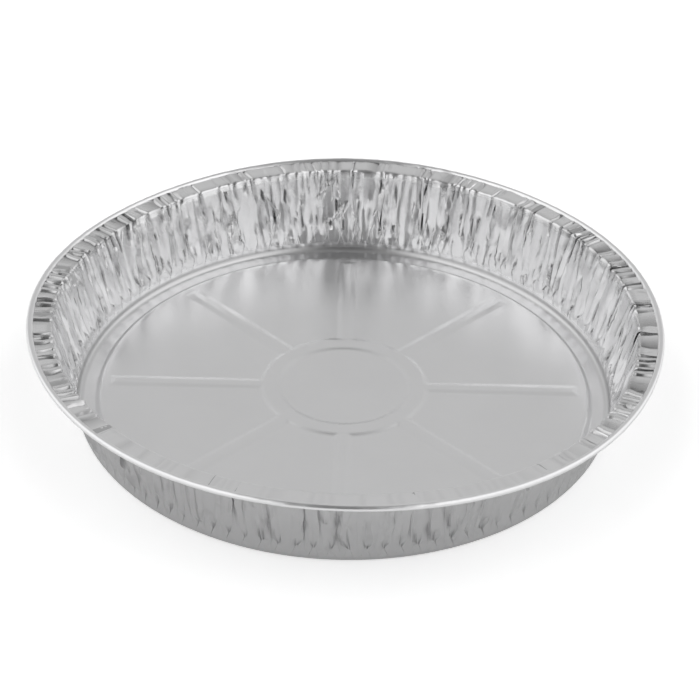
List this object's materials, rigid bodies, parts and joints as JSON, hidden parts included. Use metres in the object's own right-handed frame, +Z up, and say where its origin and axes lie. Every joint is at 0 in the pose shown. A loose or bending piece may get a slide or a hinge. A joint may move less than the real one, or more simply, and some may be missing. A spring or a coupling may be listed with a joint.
{
  "type": "foil pie tin",
  "caption": "Round disposable pie tin of thin aluminium foil, with a creased flared wall, a flange with a rolled edge, and a floor stiffened by a raised hub ring and spokes.",
  "frame": {"origin": "centre of the tin on the plane that its resting ring stands on", "axes": "+Z up along the axis of the tin, out of its mouth; +X along one of the spokes; the picture looks from -Y"},
  "size_m": [0.2556, 0.2524, 0.0399],
  "materials": {
    "foil": "bright rolled foil"
  },
  "bodies": {
    "root": {"foil_tin": "foil"}
  },
  "joints": []
}
